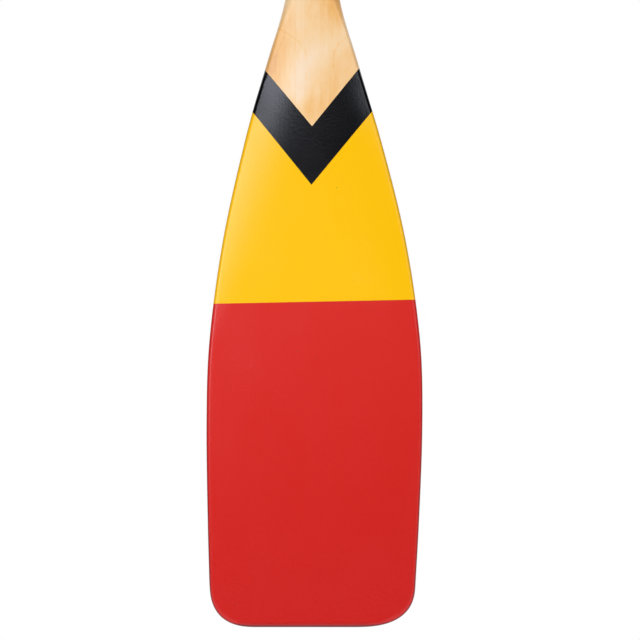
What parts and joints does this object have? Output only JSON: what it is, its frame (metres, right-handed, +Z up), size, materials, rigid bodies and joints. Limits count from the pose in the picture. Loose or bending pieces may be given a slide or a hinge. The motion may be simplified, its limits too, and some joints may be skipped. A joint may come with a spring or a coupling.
{
  "type": "canoe paddle",
  "caption": "Laminated wooden canoe paddle with a long square-tipped blade, an oval shaft and a pear grip, the blade painted in red and yellow under a black chevron.",
  "frame": {"origin": "on the shaft's axis at the neck, just under the swell of the grip, where a rack's notch holds the paddle", "axes": "+Z up the shaft towards the grip, the blade hanging below; the front faces -Y; +X to the right as the front is seen"},
  "size_m": [0.1899, 0.031, 1.45],
  "materials": {
    "pale_wood": "clear varnish, satin to gloss",
    "warm_wood": "clear varnish, satin to gloss",
    "painted_wood": "satin paint in blocks of red, yellow and black"
  },
  "bodies": {
    "root": {"shaft_centre_ply": "pale_wood", "shaft_left_ply": "warm_wood", "shaft_right_ply": "warm_wood", "blade_left_inner_plank": "painted_wood", "blade_left_middle_plank": "painted_wood", "blade_left_outer_plank": "painted_wood", "blade_right_inner_plank": "painted_wood", "blade_right_middle_plank": "painted_wood", "blade_right_outer_plank": "painted_wood", "grip_left_cheek": "pale_wood", "grip_right_cheek": "pale_wood"}
  },
  "joints": []
}
